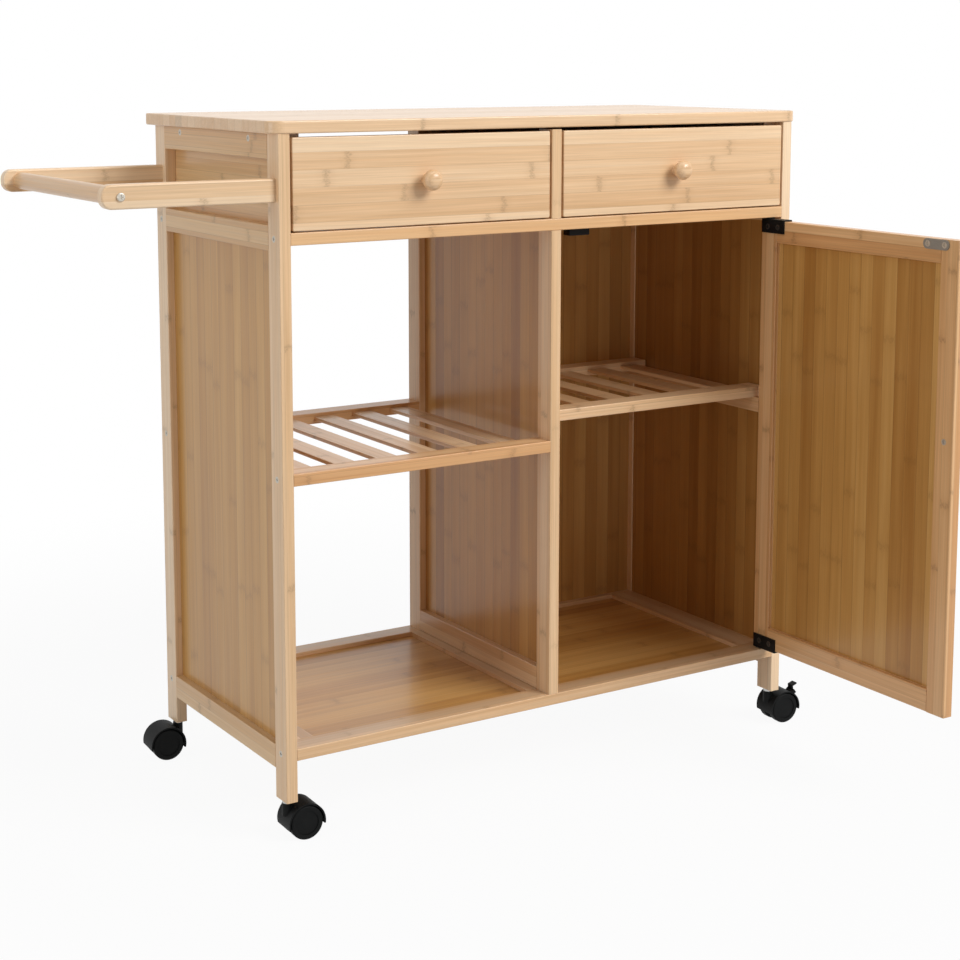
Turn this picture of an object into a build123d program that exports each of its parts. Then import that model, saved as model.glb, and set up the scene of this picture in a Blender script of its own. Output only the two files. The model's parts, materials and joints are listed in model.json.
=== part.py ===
from build123d import *

import math
import os

# Kitchen trolley in solid bamboo: two end frames on casters, an open bay with a slatted shelf,
# a cabinet bay with a door, two drawers under the worktop and a towel rail on the left end.
# Millimetres. X runs to the right seen from the front, Y to the back, Z up.
# The origin is on the floor, under the middle of the frame.

# Overall sizes
frame_width = 780.0
frame_depth = 360.0
overall_height = 870.0
caster_height = 50.0

# Bamboo stock and joinery
stock = 15.0
member_width = 30.0
edge_ease = 1.2
panel_thickness = 3.0
panel_setback = 10.0
tongue = 5.0
joint_clearance = 0.15

# Worktop
worktop_thickness = 15.0
worktop_side_overhang = 10.0
worktop_front_overhang = 2.0
worktop_rear_overhang = 8.0
worktop_front_radius = 18.0
worktop_rear_radius = 3.0
worktop_ease = 2.0
cleat_width = 20.0
upper_post_gap = 2.5

# Floor frame
floor_rise = 66.0
side_floor_rail_width = 37.0
middle_floor_rail_width = 45.0
floor_panel_thickness = 5.0
floor_panel_drop = 6.0

# Drawers
drawer_opening_height = 115.0
drawer_side_gap = 3.0
drawer_bottom_gap = 1.5
drawer_top_gap = 4.5
drawer_corner_radius = 2.0
drawer_wall = 10.0
drawer_wall_height = 75.0
drawer_box_inset = 6.0
drawer_rear_gap = 10.0
drawer_bottom_thickness = 4.0
drawer_bottom_rise = 8.0
slide_clearance = 1.0
side_board_gap = 2.0
side_board_lap = 12.0
runner_lip = 3.0
guide_height = 20.0

# Slatted shelves
left_shelf_rise = 338.0
right_shelf_rise = 370.0
slat_width = 30.0
slat_thickness = 5.0
slat_drop = 5.0
slat_pitch = 60.0
slat_tongue = 8.0
shelf_end_gap = 1.0
shelf_cleat_height = 20.0
shelf_cleat_front_gap = 7.0
shelf_cleat_rear_gap = 1.0

# Door, shown open in the rest position
door_open_angle = 90.0
door_hinge_gap = 3.5
door_free_gap = 2.5
door_end_gap = 3.5
door_panel_setback = 6.0
door_knob_rise = 50.0
pivot_inset = 9.0
pivot_pin_radius = 2.5
pivot_running_clearance = 0.05
pivot_pin_length = 9.5
bush_radius = 4.5
bush_flange_radius = 6.0
bush_flange_thickness = 1.0
bush_depth = 11.0
bracket_length = 44.0
bracket_height = 17.0
bracket_thickness = 2.0
bracket_edge_inset = 2.0
bracket_screw_spacing = 20.0

# Magnetic catch and its strike plate
catch_inset = 37.5
catch_length = 31.0
catch_depth = 14.0
catch_height = 10.0
catch_gap = 0.3
strike_length = 43.0
strike_height = 13.0
strike_thickness = 1.5
strike_edge_gap = 0.5
strike_screw_spacing = 28.0

# Round knobs
knob_base_radius = 7.5
knob_neck_radius = 6.0
knob_neck_length = 5.0
knob_ball_radius = 13.0
knob_ball_half_depth = 9.5
knob_crown_angle = 72.0

# Towel rail on the left end
arm_length = 212.0
arm_height = 28.0
arm_drop = 65.5
arm_end_radius = 12.0
arm_ease = 2.5
bar_radius = 10.5
bar_end_distance = 22.0

# Screws
screw_radius = 1.75
screw_head_radius = 4.0
screw_head_height = 2.4
pan_head_radius = 5.0
pan_head_height = 2.6
pan_head_round = 1.5
screw_clearance = 0.05
recess_length = 4.4
recess_width = 1.1
recess_depth = 1.0
leg_screw_length = 45.0
cleat_screw_length = 30.0
bar_screw_length = 40.0
bracket_screw_length = 11.0
knob_screw_length = 24.0
end_screw_spread = 100.0

# Twin wheel casters
caster_trail = 19.0
wheel_radius = 21.5
wheel_width = 12.0
wheel_ease = 2.5
wheel_dish_rim = 4.0
wheel_dish_depth = 1.0
wheel_gap = 1.0
web_thickness = 8.0
web_lift = 6.0
hood_wall = 2.0
hood_side_margin = 1.0
hood_rear_angle = -10.0
hood_front_angle = 195.0
boss_radius = 6.5
boss_length = 16.0
axle_radius = 3.0
axle_clearance = 0.05
axle_cover = 3.0
stem_radius = 4.0
stem_insert_length = 30.0
collar_radius = 6.0
collar_height = 4.0
swivel_pin_radius = 3.0
swivel_pin_length = 11.0
swivel_clearance = 0.05
swivel_gap = 0.2
trail_angles = {"front_left": -2.0, "front_right": -4.0, "rear_left": 176.0, "rear_right": 180.0}
braked_casters = ("front_right", "rear_right")

# Brake levers
lever_angle = 38.0
lever_rise = 3.6
lever_width = 9.0
lever_hub_radius = 3.0
lever_pin_radius = 1.5
lever_clearance = 0.05
lever_side_gap = 0.3
lever_tab_length = 9.0
lever_tab_thickness = 2.6
lever_tip_length = 7.0
lever_tab_angle = 95.0
lever_tip_angle = 20.0
ear_thickness = 2.5

# Levels and faces worked out from the sizes above
half_width = frame_width / 2
half_depth = frame_depth / 2
inner_x = half_width - stock
inner_y = half_depth - member_width
top_underside = overall_height - worktop_thickness
floor_top = caster_height + floor_rise
drawer_rail_top = top_underside - drawer_opening_height
drawer_rail_bottom = drawer_rail_top - stock
post_x = stock / 2
bay_width = inner_x - post_x
left_shelf_top = floor_top + left_shelf_rise
right_shelf_top = floor_top + right_shelf_rise
leg_centre_y = half_depth - member_width / 2


def centred(width, middle=0.0):
    return (middle - width / 2, middle + width / 2)


def mirrored(span):
    return (-span[1], -span[0])


def grown(spans, by):
    return [(low - by, high + by) for low, high in spans]


def block(x_span, y_span, z_span):
    size = [high - low for low, high in (x_span, y_span, z_span)]
    corner = Pos(x_span[0], y_span[0], z_span[0])
    return corner * Box(*size, align=(Align.MIN, Align.MIN, Align.MIN))


# A board with its long edges rounded off, where grain is the axis that it runs along
def board(x_span, y_span, z_span, grain, ease=edge_ease):
    solid = block(x_span, y_span, z_span)
    return fillet(solid.edges().filter_by(grain), ease)


# Shapes beside the boxes round them, which are slow to find and so are found once
def with_boxes(shapes):
    return [(shape, shape.bounding_box()) for shape in shapes]


def boxes_meet(first, second):
    corners = zip(first.min, first.max, second.min, second.max)
    return all(low_a < high_b and low_b < high_a for low_a, high_a, low_b, high_b in corners)


# Cut every socket that reaches into a solid
def carve(solid, boxed_sockets):
    solid_box = solid.bounding_box()
    for socket, socket_box in boxed_sockets:
        if boxes_meet(solid_box, socket_box):
            solid = solid - socket
    return solid


# A thin panel held in grooves, and the socket that its neighbours are grooved by
def grooved_panel(*spans):
    return block(*spans), block(*grown(spans, joint_clearance))


def cross_recess():
    slot = Box(recess_length, recess_width, recess_depth, align=(Align.CENTER, Align.CENTER, Align.MIN))
    return slot + Rot(0, 0, 90) * slot


# A countersunk screw whose head lies flush at a point, with its shank along a direction
def countersunk(point, direction, length, spare=0.0):
    place = Plane(origin=point, z_dir=direction).location
    low = (Align.CENTER, Align.CENTER, Align.MIN)
    head = Cone(screw_head_radius + spare, screw_radius + spare, screw_head_height, align=low)
    shank = Cylinder(screw_radius + spare, length + spare, align=low)
    if spare:
        return place * (head + shank)
    return place * (head + shank - cross_recess())


# A pan-head screw whose head stands on the face at a point
def pan_head(point, direction, length, spare=0.0):
    place = Plane(origin=point, z_dir=direction).location
    shank = Cylinder(screw_radius + spare, length + spare, align=(Align.CENTER, Align.CENTER, Align.MIN))
    if spare:
        return place * shank
    head = Cylinder(pan_head_radius, pan_head_height, align=(Align.CENTER, Align.CENTER, Align.MAX))
    head = fillet(head.edges().group_by(Axis.Z)[0], pan_head_round)
    return place * (head + shank - Pos(0, 0, -pan_head_height) * cross_recess())


# A list of screws beside the sockets that they need
def screw_set(shape, places, length):
    screws = [shape(point, direction, length) for point, direction in places]
    sockets = [shape(point, direction, length, screw_clearance) for point, direction in places]
    return screws, sockets


# A turned knob that stands out towards the front from a point on a front face, bored for its screw
def knob(x, y, z):
    def on_ball(angle):
        across = knob_ball_radius * math.cos(math.radians(angle))
        along = knob_ball_half_depth * math.sin(math.radians(angle))
        return (across, knob_neck_length + knob_ball_half_depth + along)

    neck_angle = -math.degrees(math.acos(knob_neck_radius / knob_ball_radius))
    crown = on_ball(knob_crown_angle)
    bore = screw_radius + screw_clearance
    bore_depth = knob_screw_length - stock + screw_clearance
    profile = [
        Polyline((bore, 0), (knob_base_radius, 0), on_ball(neck_angle)),
        ThreePointArc(on_ball(neck_angle), on_ball(neck_angle / 2), on_ball(0)),
        ThreePointArc(on_ball(0), on_ball(knob_crown_angle / 2), crown),
        Polyline(crown, (0, crown[1]), (0, bore_depth), (bore, bore_depth), (bore, 0)),
    ]
    turned = revolve(make_face(profile), Axis.Y)
    return Pos(x, y, z) * Rot(180, 0, 0) * turned


def save(name, solids):
    shape = solids[0] if len(solids) == 1 else Compound(children=solids)
    export_step(shape, os.path.join("parts", name + ".step"))


front_legs_y = (-half_depth, -inner_y)
rear_legs_y = (inner_y, half_depth)
left_stock_x = (-half_width, -inner_x)
right_stock_x = (inner_x, half_width)
between_legs_y = (-inner_y, inner_y)
between_legs_x = (-inner_x, inner_x)
post_span_x = (-post_x, post_x)
left_bay_x = (-inner_x, -post_x)
right_bay_x = (post_x, inner_x)
drawer_rail_z = (drawer_rail_bottom, drawer_rail_top)
floor_z = (floor_top - stock, floor_top)
leg_z = (caster_height, top_underside)
mid_rail_z = centred(member_width, (drawer_rail_bottom + drawer_rail_top) / 2)
top_rail_z = (top_underside - member_width, top_underside)
cleat_z = (top_underside - stock, top_underside)
bottom_rail_z = (floor_top - member_width, floor_top)
front_panel_face = -half_depth + stock

# Pieces that are grooved, bored or screwed into, and the sockets that cut them
wood = {}
sockets = []
fitted = {}

# Worktop
worktop = block(
    (-half_width - worktop_side_overhang, half_width + worktop_side_overhang),
    (-half_depth - worktop_front_overhang, half_depth + worktop_rear_overhang),
    (top_underside, overall_height),
)
worktop = fillet(worktop.edges().filter_by(Axis.Z).group_by(Axis.Y)[0], worktop_front_radius)
worktop = fillet(worktop.edges().filter_by(Axis.Z).group_by(Axis.Y)[-1], worktop_rear_radius)
worktop = fillet(worktop.edges().group_by(Axis.Z)[-1], worktop_ease)
worktop = fillet(worktop.edges().group_by(Axis.Z)[0], worktop_ease)
wood["worktop"] = [worktop]

# Legs
leg_sections = {
    "front_left": (left_stock_x, front_legs_y),
    "front_right": (right_stock_x, front_legs_y),
    "rear_left": (left_stock_x, rear_legs_y),
    "rear_right": (right_stock_x, rear_legs_y),
}
for corner_name, (x_span, y_span) in leg_sections.items():
    wood["leg_" + corner_name] = [board(x_span, y_span, leg_z, Axis.Z)]

# End frames: three rails between the legs of each end, and a panel in their grooves
end_panel_y = (-inner_y - tongue, inner_y + tongue)
end_panel_z = (bottom_rail_z[1] - tongue, mid_rail_z[0] + tongue)
left_end_panel_x = (-half_width + panel_setback, -half_width + panel_setback + panel_thickness)
end_panel_x = {"left": left_end_panel_x, "right": mirrored(left_end_panel_x)}
for side, x_span in (("left", left_stock_x), ("right", right_stock_x)):
    rail_levels = (top_rail_z, mid_rail_z, bottom_rail_z)
    wood[side + "_end_rails"] = [board(x_span, between_legs_y, level, Axis.Y) for level in rail_levels]
    panel, panel_socket = grooved_panel(end_panel_x[side], end_panel_y, end_panel_z)
    fitted[side + "_end_panel"] = [panel]
    sockets.append(panel_socket)

# Floor frame with two panels let into it
side_floor_x = (-inner_x, -inner_x + side_floor_rail_width)
middle_floor_x = centred(middle_floor_rail_width)
cross_rail_places = (side_floor_x, middle_floor_x, mirrored(side_floor_x))
long_rail_places = (front_legs_y, rear_legs_y)
wood["floor_long_rails"] = [board(between_legs_x, y_span, floor_z, Axis.X) for y_span in long_rail_places]
wood["floor_cross_rails"] = [block(x_span, between_legs_y, floor_z) for x_span in cross_rail_places]
floor_panel_top = floor_top - floor_panel_drop
floor_panel_z = (floor_panel_top - floor_panel_thickness, floor_panel_top)
left_floor_panel_x = (side_floor_x[1] - tongue, middle_floor_x[0] + tongue)
fitted["floor_panels"] = []
for x_span in (left_floor_panel_x, mirrored(left_floor_panel_x)):
    panel, panel_socket = grooved_panel(x_span, end_panel_y, floor_panel_z)
    fitted["floor_panels"].append(panel)
    sockets.append(panel_socket)

# Rails under the drawers, front and rear, over the whole width between the legs
wood["drawer_rails"] = [board(between_legs_x, y_span, drawer_rail_z, Axis.X) for y_span in long_rail_places]

# Partition between the bays
partition_post_z = (floor_top, drawer_rail_bottom)
wood["partition_front_post"] = [board(post_span_x, front_legs_y, partition_post_z, Axis.Z)]
wood["partition_rear_post"] = [board(post_span_x, rear_legs_y, partition_post_z, Axis.Z)]
partition_rail_z = (floor_top, floor_top + member_width)
wood["partition_bottom_rail"] = [board(post_span_x, between_legs_y, partition_rail_z, Axis.Y)]
partition_panel_x = (-post_x + panel_setback, -post_x + panel_setback + panel_thickness)
partition_panel_z = (partition_rail_z[1] - tongue, drawer_rail_bottom + tongue)
panel, panel_socket = grooved_panel(partition_panel_x, end_panel_y, partition_panel_z)
fitted["partition_panel"] = [panel]
sockets.append(panel_socket)

# Short posts between the drawers
wood["upper_posts"] = [
    board(post_span_x, front_legs_y, (drawer_rail_top, top_underside - upper_post_gap), Axis.Z),
    board(post_span_x, rear_legs_y, (drawer_rail_top, top_underside), Axis.Z),
]

# Boards beside the drawers, cleats under the worktop, and runners that the drawers slide on
side_board_thickness = drawer_side_gap + drawer_box_inset - slide_clearance
inside_y = (front_panel_face + side_board_gap, inner_y)
left_board_x = (-inner_x, -inner_x + side_board_thickness)
side_board_z = (drawer_rail_top, cleat_z[0])
left_board_y = (inside_y[0], inner_y + side_board_lap)
wood["drawer_side_boards"] = [
    block(left_board_x, left_board_y, side_board_z),
    block(mirrored(left_board_x), inside_y, side_board_z),
]
left_cleat_x = (-inner_x, -inner_x + cleat_width)
wood["worktop_cleats"] = [
    block(left_cleat_x, inside_y, cleat_z),
    block(mirrored(left_cleat_x), inside_y, cleat_z),
]
ledge = slide_clearance + drawer_wall + runner_lip
left_runner_x = (-inner_x, left_board_x[1] + ledge)
guide_width = 2 * (post_x + side_board_thickness)
wood["drawer_runners"] = [
    block(left_runner_x, between_legs_y, drawer_rail_z),
    block(mirrored(left_runner_x), between_legs_y, drawer_rail_z),
    block(centred(guide_width + 2 * ledge), between_legs_y, drawer_rail_z),
    block(centred(guide_width), between_legs_y, (drawer_rail_top, drawer_rail_top + guide_height)),
]

# Back of the cabinet bay: a rail under the worktop and two panels in grooves
rear_top_rail_y = (inner_y, inner_y + stock)
wood["rear_top_rail"] = [board(right_bay_x, rear_top_rail_y, top_rail_z, Axis.X)]
back_panel_y = (inner_y + panel_setback, inner_y + panel_setback + panel_thickness)
back_panel_x = (right_bay_x[0] - tongue, right_bay_x[1] + tongue)
fitted["back_panels"] = []
for low, high in ((floor_top, drawer_rail_bottom), (drawer_rail_top, top_rail_z[0])):
    panel, panel_socket = grooved_panel(back_panel_x, back_panel_y, (low - tongue, high + tongue))
    fitted["back_panels"].append(panel)
    sockets.append(panel_socket)


# A shelf: slats tongued into a front and a rear rail
def shelf(x_span, y_span, top):
    rail_z = (top - stock, top)
    front_y = (y_span[0], y_span[0] + member_width)
    rear_y = (y_span[1] - member_width, y_span[1])
    rails = [board(x_span, rail_y, rail_z, Axis.X) for rail_y in (front_y, rear_y)]
    slat_y = (front_y[1] - slat_tongue, rear_y[0] + slat_tongue)
    slat_z = (top - slat_drop - slat_thickness, top - slat_drop)
    count = int(bay_width // slat_pitch)
    middle = sum(x_span) / 2
    slats = []
    slat_sockets = []
    for index in range(count):
        slat_x = centred(slat_width, middle + (index - (count - 1) / 2) * slat_pitch)
        slats.append(board(slat_x, slat_y, slat_z, Axis.Y))
        slat_sockets.append(block(*grown((slat_x, slat_y, slat_z), joint_clearance)))
    return rails, slats, slat_sockets


wood["left_shelf_rails"], fitted["left_shelf_slats"], slat_sockets = shelf(
    left_bay_x, (-half_depth, half_depth), left_shelf_top)
sockets += slat_sockets
loose_shelf_x = (right_bay_x[0] + shelf_end_gap, right_bay_x[1] - shelf_end_gap)
loose_shelf_y = (-inner_y + shelf_end_gap, inner_y - shelf_end_gap)
wood["right_shelf_rails"], fitted["right_shelf_slats"], slat_sockets = shelf(
    loose_shelf_x, loose_shelf_y, right_shelf_top)
sockets += slat_sockets

# Cleats that carry the loose cabinet shelf
shelf_cleat_z = (right_shelf_top - stock - shelf_cleat_height, right_shelf_top - stock)
shelf_cleat_y = (front_panel_face + shelf_cleat_front_gap, back_panel_y[0] - shelf_cleat_rear_gap)
wood["right_shelf_cleats"] = [
    block((right_bay_x[0], right_bay_x[0] + stock), shelf_cleat_y, shelf_cleat_z),
    block((right_bay_x[1] - stock, right_bay_x[1]), shelf_cleat_y, shelf_cleat_z),
]

# Towel rail: two arms against the left legs with a round bar between them
arm_z = centred(arm_height, top_underside - arm_drop)
arm_x = (-half_width - arm_length, -half_width)
bar_x = arm_x[0] + bar_end_distance
bar_z = top_underside - arm_drop
wood["towel_arms"] = []
for side in (-1, 1):
    arm = block(arm_x, centred(stock, side * leg_centre_y), arm_z)
    outer_edges = arm.edges().filter_by(Axis.Y).group_by(Axis.X)[0]
    arm = fillet(outer_edges, arm_end_radius)
    side_faces = arm.faces().filter_by(Axis.Y)
    butt_edges = arm.faces().sort_by(Axis.X)[-1].edges()
    rounded = [edge for face in side_faces for edge in face.edges() if edge not in butt_edges]
    wood["towel_arms"].append(fillet(rounded, arm_ease))
bar_length = 2 * leg_centre_y - stock
wood["towel_bar"] = [Pos(bar_x, 0, bar_z) * Rot(90, 0, 0) * Cylinder(bar_radius, bar_length)]

# Screws of the frame
drawer_rail_middle = (drawer_rail_bottom + drawer_rail_top) / 2
floor_middle = floor_top - stock / 2
left_shelf_middle = left_shelf_top - stock / 2
leg_screws = []
for side_y in (-leg_centre_y, leg_centre_y):
    for level in (drawer_rail_middle, left_shelf_middle, floor_middle):
        leg_screws.append(((-half_width, side_y, level), (1, 0, 0)))
    for level in (drawer_rail_middle, floor_middle):
        leg_screws.append(((half_width, side_y, level), (-1, 0, 0)))
    leg_screws.append(((-inner_x, side_y, bar_z), (-1, 0, 0)))
cleat_screws = []
for side_y in (-end_screw_spread, end_screw_spread):
    for side in (-1, 1):
        cleat_screws.append(((side * half_width, side_y, (cleat_z[0] + cleat_z[1]) / 2), (-side, 0, 0)))
bar_screws = []
for side in (-1, 1):
    bar_screws.append(((bar_x, side * (leg_centre_y + stock / 2), bar_z), (0, -side, 0)))
fitted["frame_screws"] = []
for shape, places, length in (
    (countersunk, leg_screws, leg_screw_length),
    (countersunk, cleat_screws, cleat_screw_length),
    (pan_head, bar_screws, bar_screw_length),
):
    screws, screw_sockets = screw_set(shape, places, length)
    fitted["frame_screws"] += screws
    sockets += screw_sockets

# Door, built closed and then turned about its pivots
door_x = (right_bay_x[0] + door_free_gap, right_bay_x[1] - door_hinge_gap)
door_y = (-half_depth, front_panel_face)
door_z = (floor_top + door_end_gap, drawer_rail_bottom - door_end_gap)
door_middle_z = sum(door_z) / 2
pivot_x = door_x[1] - pivot_inset
pivot_y = sum(door_y) / 2
hinge_stile_x = (door_x[1] - member_width, door_x[1])
free_stile_x = (door_x[0], door_x[0] + member_width)
door_rail_x = (free_stile_x[1], hinge_stile_x[0])
top_door_rail_z = (door_z[1] - member_width, door_z[1])
bottom_door_rail_z = (door_z[0], door_z[0] + member_width)
door_wood = {
    "door_hinge_stile": [board(hinge_stile_x, door_y, door_z, Axis.Z)],
    "door_free_stile": [board(free_stile_x, door_y, door_z, Axis.Z)],
    "door_rails": [
        board(door_rail_x, door_y, top_door_rail_z, Axis.X),
        board(door_rail_x, door_y, bottom_door_rail_z, Axis.X),
    ],
}
door_fitted = {}
door_panel_x = (door_rail_x[0] - tongue, door_rail_x[1] + tongue)
door_panel_y = (door_y[0] + door_panel_setback, door_y[0] + door_panel_setback + panel_thickness)
door_panel_z = (bottom_door_rail_z[1] - tongue, top_door_rail_z[0] + tongue)
panel, panel_socket = grooved_panel(door_panel_x, door_panel_y, door_panel_z)
door_fitted["door_panel"] = [panel]
door_sockets = [panel_socket]
knob_x = sum(free_stile_x) / 2
knob_z = door_middle_z + door_knob_rise
door_fitted["door_knob"] = [knob(knob_x, door_y[0], knob_z)]

# Strike plate on the inside of the door, opposite the catch
strike_x = door_x[0] + catch_inset
strike_z = door_z[1] - strike_edge_gap - strike_height / 2
strike_face = Plane(origin=(strike_x, door_y[1], strike_z), x_dir=(1, 0, 0), z_dir=(0, 1, 0))
strike_plate = extrude(strike_face * SlotOverall(strike_length, strike_height), strike_thickness)

# Pivot brackets: a plate on the inside of the door, a flange over its end, and a pin
bracket_x = (door_x[1] - bracket_edge_inset - bracket_length, door_x[1] - bracket_edge_inset)
bracket_y = (door_y[1], door_y[1] + bracket_thickness)
bracket_top = door_z[1] + bracket_thickness
top_bracket = block(bracket_x, bracket_y, (door_z[1] - bracket_height, bracket_top))
top_bracket += block(bracket_x, (door_y[0] + bracket_thickness, bracket_y[1]), (door_z[1], bracket_top))
top_bracket += Pos(pivot_x, pivot_y, bracket_top) * Cylinder(
    pivot_pin_radius, pivot_pin_length, align=(Align.CENTER, Align.CENTER, Align.MIN))
door_halfway = Plane.XY.offset(door_middle_z)
bracket_screw_z = door_z[1] - bracket_height / 2
bracket_screws = []
for screw_x in centred(bracket_screw_spacing, sum(bracket_x) / 2):
    for level in (bracket_screw_z, 2 * door_middle_z - bracket_screw_z):
        bracket_screws.append(((screw_x, bracket_y[1], level), (0, -1, 0)))
strike_screws = []
for screw_x in centred(strike_screw_spacing, strike_x):
    strike_screws.append(((screw_x, door_y[1] + strike_thickness, strike_z), (0, -1, 0)))
knob_screws = [((knob_x, door_y[1], knob_z), (0, -1, 0))]
door_fitted["door_screws"] = []
for places, length in (
    (bracket_screws, bracket_screw_length),
    (strike_screws, bracket_screw_length),
    (knob_screws, knob_screw_length),
):
    screws, screw_sockets = screw_set(countersunk, places, length)
    door_fitted["door_screws"] += screws
    door_sockets += screw_sockets
door_wood["strike_plate"] = [strike_plate]
door_wood["pivot_brackets"] = [top_bracket, mirror(top_bracket, door_halfway)]

# Bushes in the frame that the pivot pins turn in
low_end = (Align.CENTER, Align.CENTER, Align.MIN)
top_bush = Cylinder(bush_radius, bush_depth, align=low_end)
bush_flange = Cylinder(bush_flange_radius, bush_flange_thickness, align=low_end)
top_bush += Pos(0, 0, -bush_flange_thickness) * bush_flange
bush_bore = Cylinder(pivot_pin_radius + pivot_running_clearance, 4 * bush_depth)
top_bush = Pos(pivot_x, pivot_y, drawer_rail_bottom) * (top_bush - bush_bore)
bush_socket = Pos(pivot_x, pivot_y, drawer_rail_bottom) * Cylinder(
    bush_radius + joint_clearance, bush_depth + joint_clearance, align=low_end)
fitted["pivot_bushes"] = [top_bush, mirror(top_bush, door_halfway)]
sockets += [bush_socket, mirror(bush_socket, door_halfway)]

# Magnetic catch under the drawer rail, behind the closed door
catch_front = front_panel_face + strike_thickness + catch_gap
catch_z = (drawer_rail_bottom - catch_height, drawer_rail_bottom)
catch = block(centred(catch_length, strike_x), (catch_front, catch_front + catch_depth), catch_z)
fitted["magnetic_catch"] = [fillet(catch.edges().filter_by(Axis.Y), edge_ease)]

# Drawers: an inset front, two sides, a back and a bottom let into grooves
drawer_front_z = (drawer_rail_top + drawer_bottom_gap, top_underside - drawer_top_gap)
drawer_box_z = (drawer_rail_top, drawer_rail_top + drawer_wall_height)
drawer_box_y = (front_panel_face, inner_y - drawer_rear_gap)
drawer_bottom_z = (drawer_rail_top + drawer_bottom_rise,
                   drawer_rail_top + drawer_bottom_rise + drawer_bottom_thickness)


def drawer(bay_x):
    front_x = (bay_x[0] + drawer_side_gap, bay_x[1] - drawer_side_gap)
    box_x = (front_x[0] + drawer_box_inset, front_x[1] - drawer_box_inset)
    front = block(front_x, door_y, drawer_front_z)
    front = fillet(front.edges().filter_by(Axis.Y), drawer_corner_radius)
    front = fillet(front.faces().sort_by(Axis.Y)[0].edges(), edge_ease)
    back_x = (box_x[0] + drawer_wall, box_x[1] - drawer_wall)
    back_y = (drawer_box_y[1] - drawer_wall, drawer_box_y[1])
    box = [
        block((box_x[0], back_x[0]), drawer_box_y, drawer_box_z),
        block((back_x[1], box_x[1]), drawer_box_y, drawer_box_z),
        block(back_x, back_y, drawer_box_z),
    ]
    bottom, bottom_socket = grooved_panel(
        (back_x[0] - tongue, back_x[1] + tongue),
        (drawer_box_y[0] - tongue, back_y[0] + tongue),
        drawer_bottom_z,
    )
    middle = (sum(front_x) / 2, door_y[0], sum(drawer_front_z) / 2)
    screw_place = [((middle[0], door_y[1], middle[2]), (0, -1, 0))]
    screws, drawer_sockets = screw_set(countersunk, screw_place, knob_screw_length)
    drawer_sockets = with_boxes(drawer_sockets + [bottom_socket])
    return {
        "front": [carve(front, drawer_sockets)],
        "box": [carve(wall, drawer_sockets) for wall in box] + [bottom],
        "knob": [knob(*middle)],
        "knob_screw": screws,
    }


# Casters in their own frame: the stem axis at the origin, the wheels behind it along X
axle_z = wheel_radius
web_half = web_thickness / 2
wheel_inner = web_half + wheel_gap
hood_half = wheel_inner + wheel_width + hood_side_margin
hood_inner_radius = wheel_radius + wheel_gap
hood_radius = hood_inner_radius + hood_wall
hood_top = caster_height - collar_height - swivel_gap
axle_line = Pos(caster_trail, 0, axle_z) * Rot(-90, 0, 0)


def lever_pivot():
    reach = hood_radius + lever_rise
    angle = math.radians(lever_angle)
    return Pos(caster_trail + reach * math.cos(angle), 0, axle_z + reach * math.sin(angle))


# The hood: a fender round the tops of the wheels, a web between them and a boss for the stem
def caster_hood(braked):
    profile = Plane.XZ * Pos(caster_trail, axle_z) * Circle(hood_radius)
    fender = extrude(profile, hood_half, both=True)
    opening = Polyline(
        (0, 0),
        (2 * hood_radius * math.cos(math.radians(hood_front_angle)),
         2 * hood_radius * math.sin(math.radians(hood_front_angle))),
        (-2 * hood_radius, -2 * hood_radius),
        (2 * hood_radius, -2 * hood_radius),
        (2 * hood_radius * math.cos(math.radians(hood_rear_angle)),
         2 * hood_radius * math.sin(math.radians(hood_rear_angle))),
        close=True,
    )
    wedge = Plane.XZ * Pos(caster_trail, axle_z) * make_face(opening)
    fender -= extrude(wedge, 2 * hood_half, both=True)
    web_profile = Plane.XZ * Pos(caster_trail, axle_z) * Circle(wheel_radius - web_lift)
    web = extrude(web_profile, web_half, both=True)
    boss = Pos(0, 0, hood_top - boss_length) * Cylinder(boss_radius, boss_length, align=low_end)
    hood = fender + web + boss
    for side in (-1, 1):
        cavity = Cylinder(hood_inner_radius, 2 * hood_half, align=low_end)
        hood -= axle_line * Rot(0 if side > 0 else 180, 0, 0) * Pos(0, 0, web_half) * cavity
    hood -= axle_line * Cylinder(axle_radius + axle_clearance, 4 * hood_half)
    hood -= Pos(0, 0, hood_top) * Cylinder(
        swivel_pin_radius + swivel_clearance, 2 * (swivel_pin_length + swivel_gap))
    if braked:
        hood += brake_ears()
    return hood


# Two ears on the hood with a pin across them for the brake lever
def brake_ears():
    gap_half = lever_width / 2 + lever_side_gap
    root = Pos(caster_trail, 0, axle_z) * Rot(0, -lever_angle, 0)
    ear_reach = hood_radius + lever_rise + lever_hub_radius
    ears = None
    for side in (-1, 1):
        ear_y = centred(ear_thickness, side * (gap_half + ear_thickness / 2))
        ear = root * block((hood_radius - hood_wall / 2, ear_reach), ear_y, centred(2 * lever_hub_radius))
        ears = ear if ears is None else ears + ear
    pin = lever_pivot() * Rot(90, 0, 0) * Cylinder(lever_pin_radius, 2 * gap_half + ear_thickness)
    return ears + pin


# The brake lever: a hub on the pin and a tab that stands up and turns out at its tip
def brake_lever():
    tab = math.radians(lever_tab_angle)
    tip = math.radians(lever_tip_angle)
    elbow = (lever_tab_length * math.cos(tab), lever_tab_length * math.sin(tab))
    end = (elbow[0] + lever_tip_length * math.cos(tip), elbow[1] + lever_tip_length * math.sin(tip))
    line = Polyline((0, 0), elbow, end)
    profile = Plane.XZ * make_face(offset(line, lever_tab_thickness / 2, side=Side.BOTH))
    lever = extrude(profile, lever_width / 2, both=True)
    lever += Rot(90, 0, 0) * Cylinder(lever_hub_radius, lever_width)
    lever -= Rot(90, 0, 0) * Cylinder(lever_pin_radius + lever_clearance, 2 * lever_width)
    return lever_pivot() * lever


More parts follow.
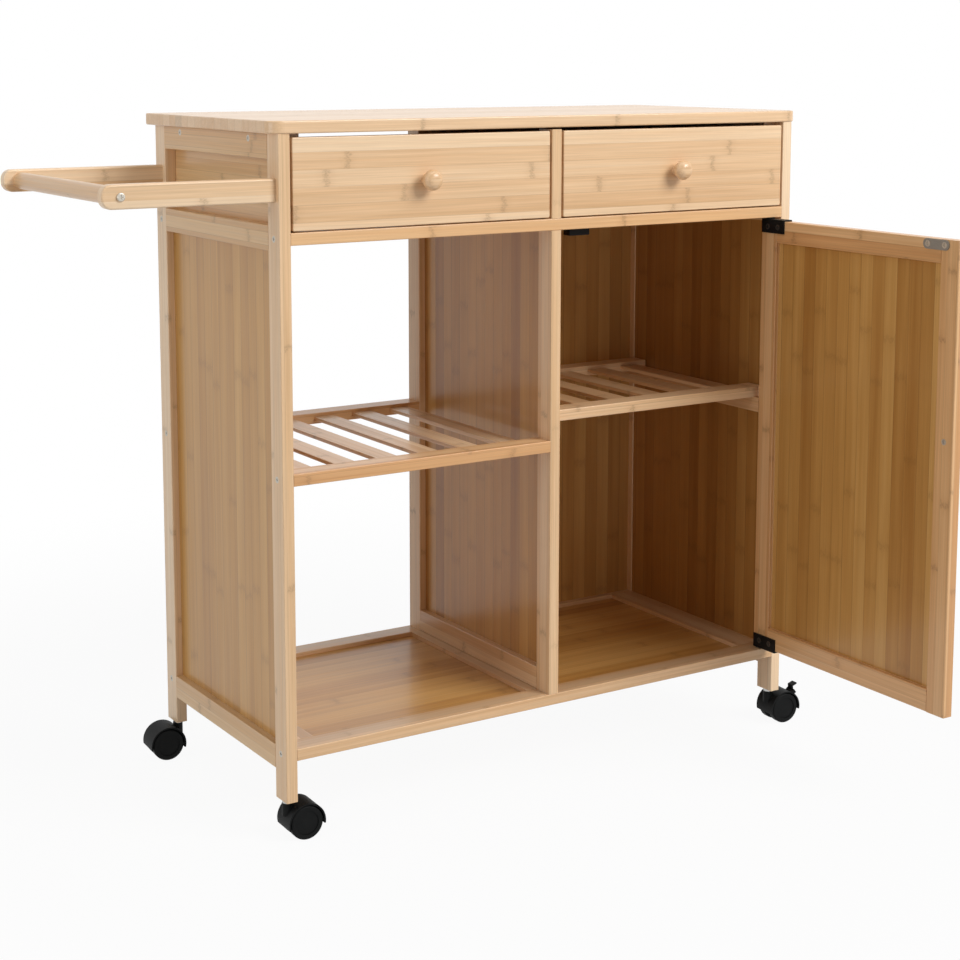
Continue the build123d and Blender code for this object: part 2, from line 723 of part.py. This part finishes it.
# Two dished wheels and the axle that they are pressed on
def caster_wheels():
    wheel = Cylinder(wheel_radius, wheel_width, align=low_end)
    wheel = fillet(wheel.edges().filter_by(GeomType.CIRCLE), wheel_ease)
    dish = Cylinder(wheel_radius - wheel_ease - wheel_dish_rim, 2 * wheel_dish_depth)
    wheel -= Pos(0, 0, wheel_width) * dish
    axle_reach = wheel_inner + wheel_width - axle_cover
    wheel -= Cylinder(axle_radius + joint_clearance, 2 * (axle_reach - wheel_inner + joint_clearance))
    pair = [axle_line * Rot(turn, 0, 0) * Pos(0, 0, wheel_inner) * wheel for turn in (0, 180)]
    return pair + [axle_line * Cylinder(axle_radius, 2 * axle_reach)]


# The fixed stem: an insert in the leg, a collar under it and the pin that the hood turns on
def caster_stem(spare=0.0):
    insert = Pos(0, 0, caster_height) * Cylinder(
        stem_radius + spare, stem_insert_length + spare, align=low_end)
    if spare:
        return insert
    collar_bottom = caster_height - collar_height
    collar = Pos(0, 0, collar_bottom) * Cylinder(collar_radius, collar_height, align=low_end)
    pin = Pos(0, 0, hood_top - swivel_pin_length) * Cylinder(
        swivel_pin_radius, caster_height - hood_top + swivel_pin_length, align=low_end)
    return insert + collar + pin


os.makedirs("parts", exist_ok=True)

fitted["caster_stems"] = []
for corner_name, (x_span, y_span) in leg_sections.items():
    stem_place = Pos(sum(x_span) / 2, sum(y_span) / 2, 0)
    fitted["caster_stems"].append(stem_place * caster_stem())
    sockets.append(stem_place * caster_stem(joint_clearance))
    caster_place = stem_place * Rot(0, 0, trail_angles[corner_name])
    braked = corner_name in braked_casters
    save("caster_hood_" + corner_name, [caster_place * caster_hood(braked)])
    save("caster_wheels_" + corner_name, [caster_place * piece for piece in caster_wheels()])
    if braked:
        save("brake_lever_" + corner_name, [caster_place * brake_lever()])

frame_sockets = with_boxes(sockets)
for node, solids in wood.items():
    save(node, [carve(solid, frame_sockets) for solid in solids])
for node, solids in fitted.items():
    save(node, solids)

door_turn = Pos(pivot_x, pivot_y, 0) * Rot(0, 0, door_open_angle) * Pos(-pivot_x, -pivot_y, 0)
boxed_door_sockets = with_boxes(door_sockets)
for node, solids in door_wood.items():
    save(node, [door_turn * carve(solid, boxed_door_sockets) for solid in solids])
for node, solids in door_fitted.items():
    save(node, [door_turn * solid for solid in solids])

for side, bay_x in (("left", left_bay_x), ("right", right_bay_x)):
    for piece, solids in drawer(bay_x).items():
        save(side + "_drawer_" + piece, solids)
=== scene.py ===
import bmesh
import bpy
import json
import math
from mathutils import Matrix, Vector

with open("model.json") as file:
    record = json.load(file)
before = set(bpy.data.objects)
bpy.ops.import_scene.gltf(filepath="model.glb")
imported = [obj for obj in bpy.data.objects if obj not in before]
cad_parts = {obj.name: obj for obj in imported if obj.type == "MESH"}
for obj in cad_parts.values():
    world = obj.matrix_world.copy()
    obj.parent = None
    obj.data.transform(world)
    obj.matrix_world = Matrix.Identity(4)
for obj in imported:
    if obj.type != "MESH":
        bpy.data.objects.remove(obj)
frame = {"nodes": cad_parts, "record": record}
print("frame loaded:", len(frame["nodes"]), "nodes")

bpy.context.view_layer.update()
scene = bpy.context.scene
nodes = frame["nodes"]


# Small helpers that lay out shader nodes
def setInput(tree, socket, value):
    if isinstance(value, bpy.types.NodeSocket):
        tree.links.new(value, socket)
    else:
        socket.default_value = value


def addNode(tree, kind, inputs=None, **settings):
    node = tree.nodes.new(kind)
    for name, value in settings.items():
        setattr(node, name, value)
    for key, value in (inputs or {}).items():
        setInput(tree, node.inputs[key], value)
    return node


def maths(tree, operation, first, second=0.0):
    return addNode(tree, "ShaderNodeMath", {0: first, 1: second}, operation=operation).outputs[0]


def vectorMaths(tree, operation, first, second):
    return addNode(tree, "ShaderNodeVectorMath", {0: first, 1: second}, operation=operation).outputs[0]


def mapped(tree, value, fromLow, fromHigh, toLow, toHigh, smooth=False):
    settings = {"interpolation_type": "SMOOTHSTEP"} if smooth else {}
    inputs = {0: value, 1: fromLow, 2: fromHigh, 3: toLow, 4: toHigh}
    return addNode(tree, "ShaderNodeMapRange", inputs, **settings).outputs[0]


def mixed(tree, factor, first, second, blend="MIX"):
    inputs = {0: factor, 6: first, 7: second}
    return addNode(tree, "ShaderNodeMix", inputs, data_type="RGBA", blend_type=blend).outputs[2]


def ramp(tree, value, stops):
    node = addNode(tree, "ShaderNodeValToRGB", {0: value})
    elements = node.color_ramp.elements
    while len(elements) < len(stops):
        elements.new(0.5)
    for element, (place, colour) in zip(elements, stops):
        element.position = place
        element.color = (*colour, 1.0)
    return node.outputs[0]


def noise(tree, place, scale, detail, roughness=0.5):
    inputs = {"Vector": place, "Scale": scale, "Detail": detail, "Roughness": roughness}
    return addNode(tree, "ShaderNodeTexNoise", inputs).outputs[0]


def bumped(tree, strength, distance, height):
    inputs = {"Strength": strength, "Distance": distance, "Height": height}
    return addNode(tree, "ShaderNodeBump", inputs).outputs[0]


def objectPlace(tree):
    return addNode(tree, "ShaderNodeTexCoord").outputs["Object"]


# A screen colour as the shader wants it, and one darkened or lightened
def linear(red, green, blue):
    return tuple(((c / 255 + 0.055) / 1.055) ** 2.4 for c in (red, green, blue))


def shaded(colour, factor, lift=0.0):
    return (*[c * factor + lift for c in colour], 1.0)


# The smoothest and the roughest that a finish gets
def spread(roughness, look):
    return roughness - look["smoother"], roughness + look["rougher"]


# Noise drawn out along the grain, in cycles per metre across it and along it
def grainNoise(tree, place, grain, acrossScale, alongScale, detail=3.0):
    stretch = [acrossScale] * 3
    stretch[grain] = alongScale
    return noise(tree, vectorMaths(tree, "MULTIPLY", place, stretch), 1.0, detail, 0.55)


# Laminated bamboo: long slats glued side by side, fibres along them, and knuckles where the cane had joints
def makeBamboo(name, grain, slat, tones, look):
    material = bpy.data.materials.new(name)
    material.use_nodes = True
    tree = material.node_tree
    tree.nodes.clear()
    place = objectPlace(tree)
    parts = addNode(tree, "ShaderNodeSeparateXYZ", {0: place}).outputs
    cells = []
    seams = []
    for axis, width in zip([axis for axis in (0, 1, 2) if axis != grain], slat):
        shifted = maths(tree, "ADD", maths(tree, "DIVIDE", parts[axis], width), look["shift"])
        cells.append(maths(tree, "FLOOR", shifted))
        middle = maths(tree, "ABSOLUTE", maths(tree, "SUBTRACT", maths(tree, "FRACT", shifted), 0.5))
        nearEdge = maths(tree, "MULTIPLY", maths(tree, "SUBTRACT", 0.5, middle), width)
        seams.append(mapped(tree, nearEdge, 0.0, look["seamWidth"], 1.0, 0.0, True))
    cell = addNode(tree, "ShaderNodeCombineXYZ", {0: cells[0], 1: cells[1], 2: look["seed"]}).outputs[0]
    whiteNoise = addNode(tree, "ShaderNodeTexWhiteNoise", {"Vector": cell}, noise_dimensions="3D")
    chance = whiteNoise.outputs["Color"]
    draws = addNode(tree, "ShaderNodeSeparateColor", {0: chance}).outputs

    # Each slat is cut from another cane, so its streaks and fibres start at a place of its own
    jump = vectorMaths(tree, "MULTIPLY", chance, look["slatJump"])
    slatPlace = vectorMaths(tree, "ADD", place, jump)
    streaks = grainNoise(tree, slatPlace, grain, look["streak"], look["streakAlong"])
    fibres = grainNoise(tree, slatPlace, grain, look["fibre"], look["fibreAlong"])
    fibreRange = look["fibreRange"]

    # Knuckles: a soft brown band across a slat, broken into short dashes by the fibres
    wander = maths(tree, "SUBTRACT", grainNoise(tree, place, grain, *look["swayScales"]), 0.5)
    sway = maths(tree, "MULTIPLY", wander, look["knuckleSway"])
    stations = maths(tree, "ADD", maths(tree, "DIVIDE", parts[grain], look["knucklePitch"]),
                     maths(tree, "MULTIPLY", draws[1], look["stationJump"]))
    station = maths(tree, "SUBTRACT", maths(tree, "FRACT", stations), 0.5)
    offset = maths(tree, "ADD", maths(tree, "MULTIPLY", station, look["knucklePitch"]), sway)
    distance = maths(tree, "ABSOLUTE", offset)
    knuckleShare = look["knuckleShare"]
    chosen = mapped(tree, draws[2], knuckleShare, knuckleShare + look["knuckleFade"], 1.0, 0.0)
    dashNoise = grainNoise(tree, place, grain, *look["dashScales"], look["dashDetail"])
    dashes = mapped(tree, dashNoise, *look["dashRange"], 0.0, 1.0, True)
    nearBand = mapped(tree, distance, look["knuckleCore"], look["knuckleHalf"], 1.0, 0.0, True)
    nearHalo = mapped(tree, distance, 0.0, look["knuckleHalf"] * look["haloReach"], 1.0, 0.0, True)
    halo = maths(tree, "MULTIPLY", chosen, nearHalo)
    knuckle = maths(tree, "MULTIPLY", maths(tree, "MULTIPLY", chosen, nearBand),
                    mapped(tree, dashes, 0.0, 1.0, look["dashFloor"], 1.0))

    tone = maths(tree, "ADD", maths(tree, "MULTIPLY", draws[0], look["slatShare"]),
                 maths(tree, "MULTIPLY", streaks, 1.0 - look["slatShare"]))
    colour = ramp(tree, tone, list(zip(look["toneStops"], tones)))
    fibreDepth = look["fibreDepth"]
    thread = mapped(tree, fibres, *fibreRange, 1.0 - fibreDepth, 1.0 + fibreDepth * look["fibreLift"])
    threadColour = addNode(tree, "ShaderNodeCombineColor", {0: thread, 1: thread, 2: thread}).outputs[0]
    colour = mixed(tree, 1.0, colour, threadColour, "MULTIPLY")
    seam = maths(tree, "MAXIMUM", seams[0], seams[1])
    seamDepth = mapped(tree, draws[1], 0.0, 1.0, look["seamDepth"] * look["seamFloor"], look["seamDepth"])
    dark = tones[0]
    for share, shade in (
        (maths(tree, "MULTIPLY", seam, seamDepth), look["seamShade"]),
        (maths(tree, "MULTIPLY", halo, look["knuckleDepth"] * look["haloDepth"]), look["haloShade"]),
        (maths(tree, "MULTIPLY", knuckle, look["knuckleDepth"]), look["knuckleShade"]),
    ):
        colour = mixed(tree, share, colour, shaded(dark, shade))

    rough = mapped(tree, fibres, *fibreRange, *spread(look["roughness"], look))
    dents = maths(tree, "ADD", seam, maths(tree, "MULTIPLY", knuckle, look["knuckleDent"]))
    height = maths(tree, "SUBTRACT", maths(tree, "MULTIPLY", fibres, look["fibreHeight"]), dents)
    bump = bumped(tree, look["bump"], look["bumpDistance"], height)
    shader = addNode(tree, "ShaderNodeBsdfPrincipled", {
        "Base Color": colour, "Roughness": rough, "Normal": bump,
        "Coat Weight": look["coat"], "Coat Roughness": look["coatRoughness"], "IOR": look["ior"],
    })
    out = addNode(tree, "ShaderNodeOutputMaterial")
    tree.links.new(shader.outputs[0], out.inputs[0])
    return material


# Lengths in metres, noise scales in cycles per metre across and along the grain, the rest are shares
bambooLook = {
    "shift": 0.37, "seed": 1.0, "slatJump": (3.0, 3.0, 3.0),
    "slatShare": 0.42, "toneStops": (0.22, 0.5, 0.76),
    "seamWidth": 0.0006, "seamDepth": 0.5, "seamFloor": 0.3, "seamShade": 0.5,
    "streak": 150.0, "streakAlong": 2.4,
    "fibre": 640.0, "fibreAlong": 9.0, "fibreRange": (0.3, 0.7), "fibreDepth": 0.11, "fibreLift": 0.4,
    "knucklePitch": 0.29, "knuckleCore": 0.001, "knuckleHalf": 0.0055, "knuckleSway": 0.016,
    "knuckleShare": 0.75, "knuckleDepth": 0.42, "knuckleShade": 0.4, "stationJump": 3.7,
    "knuckleFade": 0.05, "swayScales": (230.0, 80.0),
    "dashScales": (1300.0, 330.0), "dashDetail": 2.0, "dashRange": (0.43, 0.6), "dashFloor": 0.25,
    "haloReach": 3.0, "haloDepth": 0.45, "haloShade": 0.74,
    "bump": 0.25, "bumpDistance": 0.0003, "fibreHeight": 0.45, "knuckleDent": 0.4,
    "roughness": 0.4, "smoother": 0.05, "rougher": 0.07, "coat": 0.3, "coatRoughness": 0.16, "ior": 1.48,
}
panelLook = dict(
    bambooLook, knucklePitch=0.27, knuckleHalf=0.0075, knuckleShare=0.85, knuckleDepth=0.22,
    knuckleSway=0.022, seamWidth=0.001, streak=62.0, fibreDepth=0.08,
)
topTones = (linear(221, 179, 132), linear(230, 192, 149), linear(236, 202, 162))
paleTones = (linear(214, 170, 122), linear(230, 192, 149), linear(240, 209, 171))
honeyTones = (linear(168, 115, 52), linear(193, 143, 76), linear(211, 164, 97))
frameTones = (linear(221, 180, 133), linear(236, 201, 160), linear(244, 216, 181))
# The end pieces' tones are deeper than the pale stock: partly their own deeper tone, partly painted shade of
# the shaded end
endTonesWithPaintedShade = (linear(203, 155, 101), linear(220, 179, 127), linear(231, 196, 148))
# The panel tones darkened to about four fifths, as painted shade on the cabinet's inner end
panelTonesInPaintedShade = (linear(150, 99, 42), linear(175, 125, 63), linear(193, 146, 82))
doorTones = (linear(205, 150, 96), linear(222, 173, 120), linear(233, 190, 140))

alongX, alongY, alongZ = 0, 1, 2
topSlat = (0.0195, 0.05)
stripSlat = (0.0152, 0.0152)
panelSlat = (0.0215, 0.0215)
boardSlat = (0.0205, 0.0205)
knobSlat = (0.009, 0.009)

bambooFinishes = {
    "bamboo_top": ("worktop bamboo", alongX, topSlat, topTones, dict(bambooLook, seed=2.0, coat=0.5)),
    "bamboo_frame": ("upright bamboo", alongZ, stripSlat, frameTones, dict(bambooLook, seed=3.0)),
    "bamboo_rails": ("crosswise bamboo", alongX, stripSlat, paleTones, dict(bambooLook, seed=4.0)),
    "bamboo_depth_rails": ("front to back bamboo", alongY, stripSlat, paleTones, dict(bambooLook, seed=5.0)),
    "bamboo_panel": ("panel bamboo", alongZ, panelSlat, honeyTones, dict(panelLook, seed=6.0)),
    "bamboo_floor": ("floor bamboo", alongX, boardSlat, honeyTones,
                     dict(bambooLook, seed=7.0, knuckleDepth=0.3)),
    "bamboo_drawer_front": ("drawer front bamboo", alongX, boardSlat, paleTones,
                            dict(bambooLook, seed=8.0, knuckleShare=0.85)),
    "bamboo_drawer_box": ("drawer box bamboo", alongY, boardSlat, paleTones, dict(bambooLook, seed=9.0)),
    "bamboo_knob": ("turned knob bamboo", alongX, knobSlat, paleTones,
                    dict(bambooLook, seed=10.0, knuckleShare=0.0, roughness=0.34, seamDepth=0.1)),
}
materials = {slot: makeBamboo(*finish) for slot, finish in bambooFinishes.items()}

# Pieces given paler or deeper tones than the rest of their slot; some of the deeper tones are painted shade
ownToneAndShadeFinishes = {
    "door_hinge_stile": ("door stile bamboo", alongZ, stripSlat, doorTones, dict(bambooLook, seed=11.0)),
    "door_rails": ("door rail bamboo", alongY, stripSlat, doorTones, dict(bambooLook, seed=12.0)),
    "towel_arms": ("towel arm bamboo", alongX, stripSlat, frameTones, dict(bambooLook, seed=13.0)),
    # The end rails' deeper tones are partly painted shade
    "left_end_rails": ("end rail bamboo with painted shade", alongY, stripSlat, endTonesWithPaintedShade, dict(bambooLook, seed=14.0)),
    # The cabinet's inner end panel is darkened as painted shade
    "right_end_panel": ("panel bamboo darkened as painted shade", alongZ, panelSlat, panelTonesInPaintedShade, dict(panelLook, seed=16.0)),
    # The drawer rails take the door's deeper tones as painted shade under the overhanging drawer fronts; the
    # left shelf rails share this darkened material
    "drawer_rails": ("drawer rail bamboo darkened as painted shade", alongX, stripSlat, doorTones, dict(bambooLook, seed=15.0)),
}
ownToneAndShade = {node: makeBamboo(*finish) for node, finish in ownToneAndShadeFinishes.items()}
ownToneAndShade["door_free_stile"] = ownToneAndShade["door_hinge_stile"]
ownToneAndShade["right_end_rails"] = ownToneAndShade["left_end_rails"]
ownToneAndShade["drawer_side_boards"] = ownToneAndShade["left_end_rails"]
ownToneAndShade["left_shelf_rails"] = ownToneAndShade["drawer_rails"]


# Moulded black plastic or black paint, with a fine grain and faint paler patches
plasticLook = {
    "specular": 0.12, "smoother": 0.06, "rougher": 0.08, "bump": 0.12, "bumpDistance": 0.0002,
    "grainDetail": 3.0, "grainRange": (0.3, 0.7),
    "patchScale": 60.0, "patchDetail": 4.0, "patchRange": (0.45, 0.75),
    "patchShare": 0.35, "patchGain": 2.0, "patchLift": 0.004,
}


def makePlastic(name, colour, roughness, grainScale):
    material = bpy.data.materials.new(name)
    material.use_nodes = True
    tree = material.node_tree
    place = objectPlace(tree)
    grain = noise(tree, place, grainScale, plasticLook["grainDetail"])
    patchNoise = noise(tree, place, plasticLook["patchScale"], plasticLook["patchDetail"])
    patches = mapped(tree, patchNoise, *plasticLook["patchRange"], 0.0, plasticLook["patchShare"])
    paler = shaded(colour, plasticLook["patchGain"], plasticLook["patchLift"])
    inputs = tree.nodes["Principled BSDF"].inputs
    for socket, value in {
        "Base Color": mixed(tree, patches, shaded(colour, 1.0), paler),
        "Roughness": mapped(tree, grain, *plasticLook["grainRange"], *spread(roughness, plasticLook)),
        "Specular IOR Level": plasticLook["specular"],
        "Normal": bumped(tree, plasticLook["bump"], plasticLook["bumpDistance"], grain),
    }.items():
        setInput(tree, inputs[socket], value)
    return material


plasticFinishes = {
    "hinge_black": ("black painted steel", linear(20, 20, 20), 0.4, 1800.0),
    "fitting_plastic": ("black fitting plastic", linear(20, 20, 20), 0.45, 1500.0),
    "hood_plastic": ("caster hood plastic", linear(11, 12, 12), 0.52, 1500.0),
    "wheel_plastic": ("caster wheel plastic", linear(12, 13, 13), 0.56, 1500.0),
    "lever_plastic": ("brake lever plastic", linear(11, 12, 12), 0.5, 1500.0),
}
materials.update({slot: makePlastic(*finish) for slot, finish in plasticFinishes.items()})


# Plated steel with fine brush lines
steelLook = {
    "brushScales": (300.0, 300.0, 2400.0), "brushDetail": 2.0, "tintRange": (0.35, 0.65), "lineShade": 0.82,
    "roughRange": (0.3, 0.7), "smoother": 0.06, "rougher": 0.1,
}


def makeSteel(name, colour, roughness, metallic):
    material = bpy.data.materials.new(name)
    material.use_nodes = True
    tree = material.node_tree
    lines = vectorMaths(tree, "MULTIPLY", objectPlace(tree), steelLook["brushScales"])
    brush = noise(tree, lines, 1.0, steelLook["brushDetail"])
    clear = mapped(tree, brush, *steelLook["tintRange"], 0.0, 1.0)
    inputs = tree.nodes["Principled BSDF"].inputs
    for socket, value in {
        "Base Color": mixed(tree, clear, shaded(colour, steelLook["lineShade"]), shaded(colour, 1.0)),
        "Roughness": mapped(tree, brush, *steelLook["roughRange"], *spread(roughness, steelLook)),
        "Metallic": metallic,
    }.items():
        setInput(tree, inputs[socket], value)
    return material


steelFinishes = {
    "screw_steel": ("screw steel", linear(208, 201, 188), 0.36, 0.6),
    "bracket_screws": ("blackened screw steel", linear(84, 82, 79), 0.4, 0.8),
    "plate_steel": ("strike plate steel", linear(150, 146, 138), 0.5, 0.55),
    "stem_steel": ("caster stem steel", linear(190, 190, 188), 0.28, 1.0),
}
materials.update({slot: makeSteel(*finish) for slot, finish in steelFinishes.items()})

slotOf = {entry["node"]: entry["material_slot"] for entry in frame["record"]["subparts"]}
for nodeName, piece in nodes.items():
    piece.data.materials.clear()
    piece.data.materials.append(ownToneAndShade.get(nodeName) or materials[slotOf[nodeName]])

# Of the door's screws, those in the two brackets near the hinge are blackened
bracketReach = -0.3
doorScrews = nodes["door_screws"].data
doorScrews.materials.append(materials["bracket_screws"])
for face in doorScrews.polygons:
    face.material_index = int(face.center.y > bracketReach)
print("finishes given to the frame")


# One where a ray comes straight from the eye, off a shine or through something clear
def seenRays(tree):
    rays = addNode(tree, "ShaderNodeLightPath").outputs
    shines = maths(tree, "MAXIMUM", rays["Is Glossy Ray"], rays["Is Transmission Ray"])
    return maths(tree, "MAXIMUM", rays["Is Camera Ray"], shines)


# A pale floor that reads as white to the eye and still takes the trolley's shadow
floorLook = {
    "halfSide": 9.0, "colour": (0.62, 0.62, 0.62, 1.0), "fadeFrom": 0.6, "fadeTo": 1.6, "whiteShare": 0.94,
}


def makeFloor():
    mesh = bpy.data.meshes.new("studio floor")
    sheet = bmesh.new()
    bmesh.ops.create_grid(sheet, x_segments=1, y_segments=1, size=floorLook["halfSide"])
    sheet.to_mesh(mesh)
    sheet.free()
    floor = bpy.data.objects.new("studio_floor", mesh)
    scene.collection.objects.link(floor)
    material = bpy.data.materials.new("studio floor")
    material.use_nodes = True
    tree = material.node_tree
    tree.nodes.clear()
    matt = addNode(tree, "ShaderNodeBsdfDiffuse", {"Color": floorLook["colour"]})
    white = addNode(tree, "ShaderNodeEmission", {"Color": (1.0, 1.0, 1.0, 1.0), "Strength": 1.0})
    reach = addNode(tree, "ShaderNodeVectorMath", {0: objectPlace(tree)}, operation="LENGTH").outputs["Value"]
    fade = mapped(tree, reach, floorLook["fadeFrom"], floorLook["fadeTo"], floorLook["whiteShare"], 1.0, True)
    share = maths(tree, "MULTIPLY", fade, seenRays(tree))
    mix = addNode(tree, "ShaderNodeMixShader", {0: share, 1: matt.outputs[0], 2: white.outputs[0]})
    out = addNode(tree, "ShaderNodeOutputMaterial")
    tree.links.new(mix.outputs[0], out.inputs[0])
    mesh.materials.append(material)


makeFloor()
print("floor laid")

# Soft lights with the point each faces, their sizes in metres and their power in watts
studioLights = {
    "front light": dict(place=(1.95, -3.51, 3.375), aim=(0.0, 0.0, 0.45), size=(2.6, 2.1), power=200.0),
    "top light": dict(place=(-0.3, 0.2, 3.4), aim=(0.0, 0.0, 0.5), size=(3.0, 3.0), power=22.0),
    "left light": dict(place=(-3.2, -0.4, 1.3), aim=(-0.3, 0.0, 0.45), size=(1.6, 2.2), power=27.0),
}


def areaLight(name, place, aim, size, power):
    data = bpy.data.lights.new(name, "AREA")
    data.shape = "RECTANGLE"
    data.size, data.size_y = size
    data.energy = power
    light = bpy.data.objects.new(name, data)
    light.location = place
    direction = Vector([a - p for a, p in zip(aim, place)])
    light.rotation_euler = direction.to_track_quat("-Z", "Y").to_euler()
    scene.collection.objects.link(light)


for lightName, lightLook in studioLights.items():
    areaLight(lightName, **lightLook)

# White to the eye, a dim fill for the surfaces
fillStrength = 0.2
world = bpy.data.worlds.new("studio")
scene.world = world
world.use_nodes = True
worldTree = world.node_tree
background = worldTree.nodes["Background"]
background.inputs["Color"].default_value = (1.0, 1.0, 1.0, 1.0)
backStrength = mapped(worldTree, seenRays(worldTree), 0.0, 1.0, fillStrength, 1.0)
worldTree.links.new(backStrength, background.inputs["Strength"])

# Camera at the photograph's place, tilted down a little and shifted for its framing
cameraLook = {
    "place": (-1.3571, -2.1299, 0.9428), "tiltDown": 7.73, "turn": -32.144,
    "sensor": 36.0, "lens": 70.5, "shift": (0.012, -0.175),
}
cameraData = bpy.data.cameras.new("camera")
camera = bpy.data.objects.new("camera", cameraData)
camera.location = cameraLook["place"]
camera.rotation_euler = (math.radians(90.0 - cameraLook["tiltDown"]), 0.0, math.radians(cameraLook["turn"]))
cameraData.sensor_width = cameraLook["sensor"]
cameraData.lens = cameraLook["lens"]
cameraData.shift_x, cameraData.shift_y = cameraLook["shift"]
scene.collection.objects.link(camera)
scene.camera = camera
scene.view_settings.view_transform = "Standard"
print("lights and camera set")

print("scene ready")
